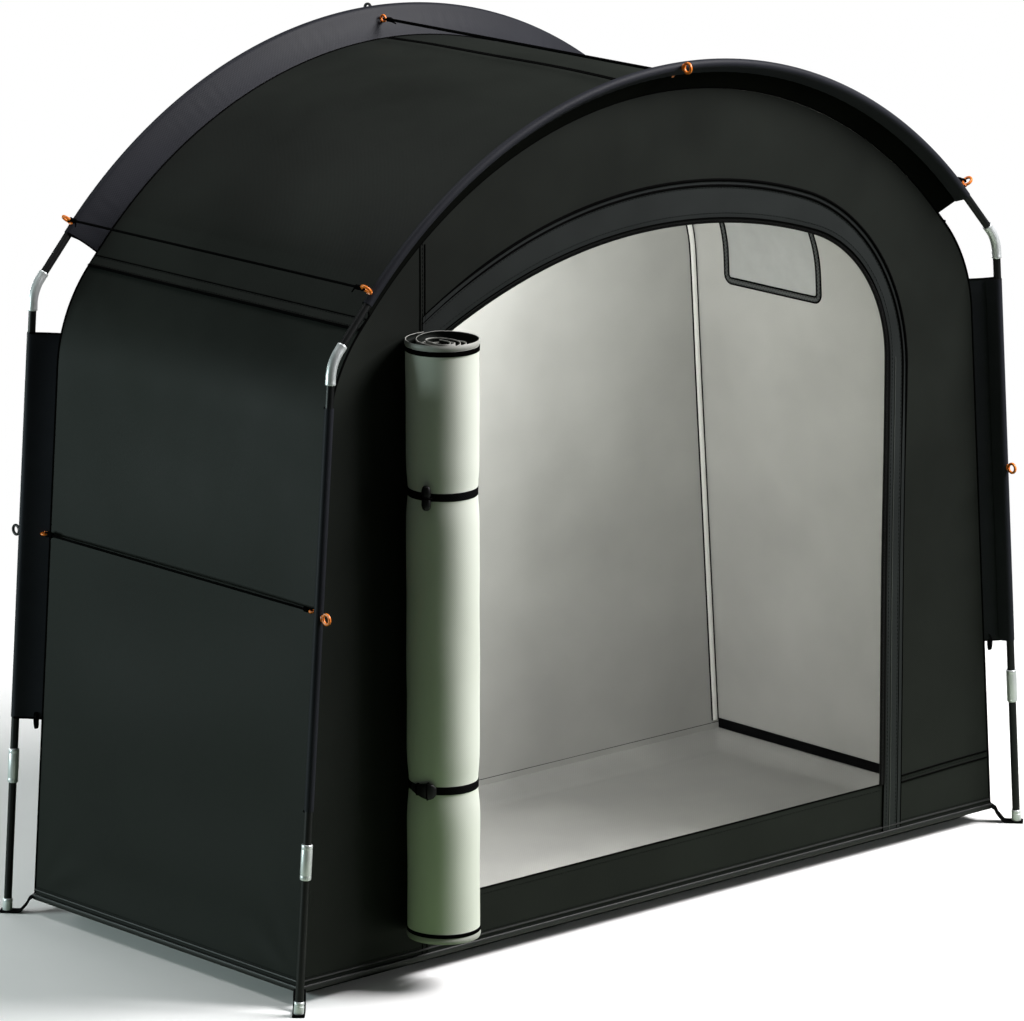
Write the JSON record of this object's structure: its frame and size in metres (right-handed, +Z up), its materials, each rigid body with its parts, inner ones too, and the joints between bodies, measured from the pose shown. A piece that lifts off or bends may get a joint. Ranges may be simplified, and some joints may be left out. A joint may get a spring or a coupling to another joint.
{
  "type": "fabric bike storage tent",
  "caption": "Free-standing cloth storage tent hung inside two pole hoops, with an arched doorway, its rolled-up door, a side window and a ground sheet.",
  "frame": {"origin": "centre of the ground sheet's underside, on the ground between the four pole feet", "axes": "+X along the front to the window end, -Y out of the doorway, +Z up"},
  "size_m": [2.0174, 1.0478, 1.742],
  "materials": {
    "pole": "satin black",
    "bright_metal": "satin",
    "outer_cloth": "coated weave, slight sheen",
    "coated_cloth": "silver-green coated side of the cloth",
    "floor_cloth": "coated ground sheet",
    "seam_tape": "smooth sealing tape",
    "webbing": "black woven webbing",
    "zip": "black coil zip",
    "toggle": "black moulded",
    "window_film": "smoky film",
    "stay_cord": "black braided cord",
    "eye_plastic": "orange moulded"
  },
  "bodies": {
    "root": {"base_hem": "webbing", "corner_straps": "webbing", "door_surround": "outer_cloth", "door_ties": "webbing", "door_zip": "zip", "eave_eyes": "eye_plastic", "eave_flaps": "outer_cloth", "eave_stays": "stay_cord", "floor_edges": "floor_cloth", "front_arch_flange": "outer_cloth", "front_arch_pole": "pole", "front_elbows": "bright_metal", "front_feet": "bright_metal", "front_ferrules": "bright_metal", "front_guy_eyes": "eye_plastic", "front_leg_flanges": "outer_cloth", "front_lower_legs": "pole", "front_skirt": "outer_cloth", "front_upper_legs": "pole", "front_wall_corners": "outer_cloth", "front_wall_head": "outer_cloth", "front_wall_left": "outer_cloth", "front_wall_right": "outer_cloth", "ground_sheet": "floor_cloth", "left_end_wall": "outer_cloth", "rear_arch_flange": "outer_cloth", "rear_arch_pole": "pole", "rear_elbows": "bright_metal", "rear_feet": "bright_metal", "rear_ferrules": "bright_metal", "rear_guy_eyes": "eye_plastic", "rear_leg_flanges": "outer_cloth", "rear_lower_legs": "pole", "rear_seam_tape": "seam_tape", "rear_upper_legs": "pole", "rear_wall": "outer_cloth", "ridge_stay": "stay_cord", "right_end_wall": "outer_cloth", "rolled_door": "coated_cloth", "roof_panel": "outer_cloth", "side_stays": "stay_cord", "stay_eyes": "eye_plastic", "tie_toggles": "toggle", "window_frame": "webbing", "window_pane": "window_film"}
  },
  "joints": []
}
